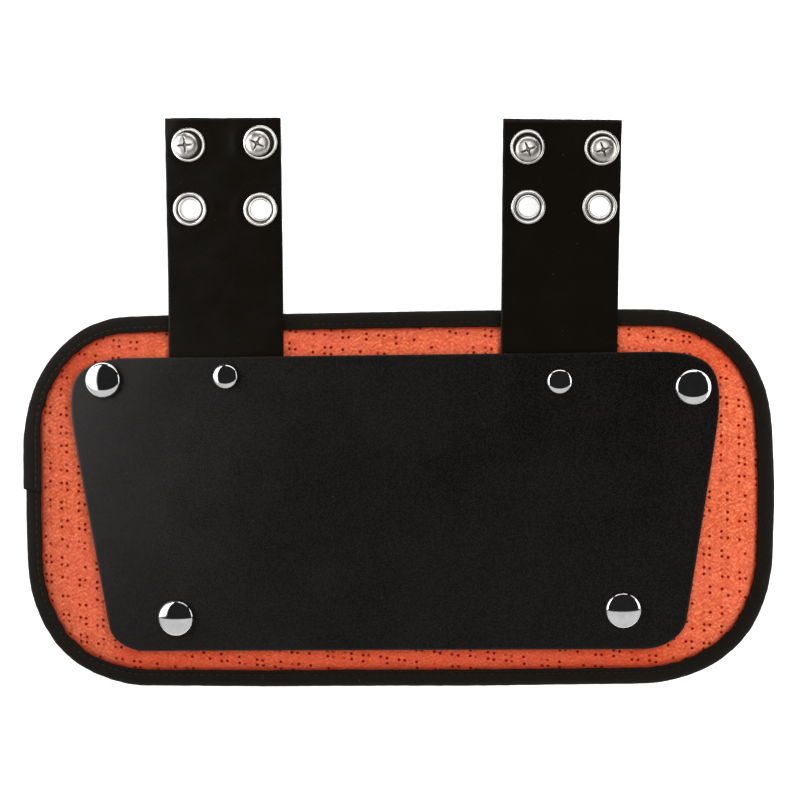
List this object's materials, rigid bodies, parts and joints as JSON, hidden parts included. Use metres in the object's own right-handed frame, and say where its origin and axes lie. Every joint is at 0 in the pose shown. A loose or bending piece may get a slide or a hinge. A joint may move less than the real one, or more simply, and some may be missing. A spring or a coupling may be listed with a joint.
{
  "type": "football back plate",
  "caption": "Padded football back plate: mesh-covered foam pad with taped edge, rigid plate riveted on its front, and webbing straps with eyelets that screw to shoulder pads.",
  "frame": {"origin": "middle of the foam pad's flat back face, the face that lies towards the wearer", "axes": "+Z out of the plate's front, +Y up the straps, +X to the right seen from the front"},
  "size_m": [0.3257, 0.2455, 0.0325],
  "materials": {
    "cover_mesh": "orange athletic mesh, warp knit with fine perforations in clusters",
    "edge_tape": "black woven binding tape, folded and stitched",
    "plate_plastic": "charcoal-black rigid plastic, very fine satin grain",
    "strap_webbing": "black coated webbing, cut edges",
    "eyelet_nickel": "nickel plate, bright with soft handling marks",
    "screw_steel": "zinc-plated steel, lightly polished",
    "rivet_chrome": "mirror chrome"
  },
  "bodies": {
    "root": {"pad": "cover_mesh", "edge_binding": "edge_tape", "back_plate": "plate_plastic", "rivet_top_left": "rivet_chrome", "rivet_top_right": "rivet_chrome", "rivet_bottom_right": "rivet_chrome", "rivet_bottom_left": "rivet_chrome", "strap_left": "strap_webbing", "strap_rivet_left": "rivet_chrome", "eyelet_left_top_outer": "eyelet_nickel", "eyelet_left_top_inner": "eyelet_nickel", "eyelet_left_low_outer": "eyelet_nickel", "eyelet_left_low_inner": "eyelet_nickel", "screw_left_outer": "screw_steel", "nut_left_outer": "screw_steel", "screw_left_inner": "screw_steel", "nut_left_inner": "screw_steel", "strap_right": "strap_webbing", "strap_rivet_right": "rivet_chrome", "eyelet_right_top_inner": "eyelet_nickel", "eyelet_right_top_outer": "eyelet_nickel", "eyelet_right_low_inner": "eyelet_nickel", "eyelet_right_low_outer": "eyelet_nickel", "screw_right_inner": "screw_steel", "nut_right_inner": "screw_steel", "screw_right_outer": "screw_steel", "nut_right_outer": "screw_steel"}
  },
  "joints": []
}
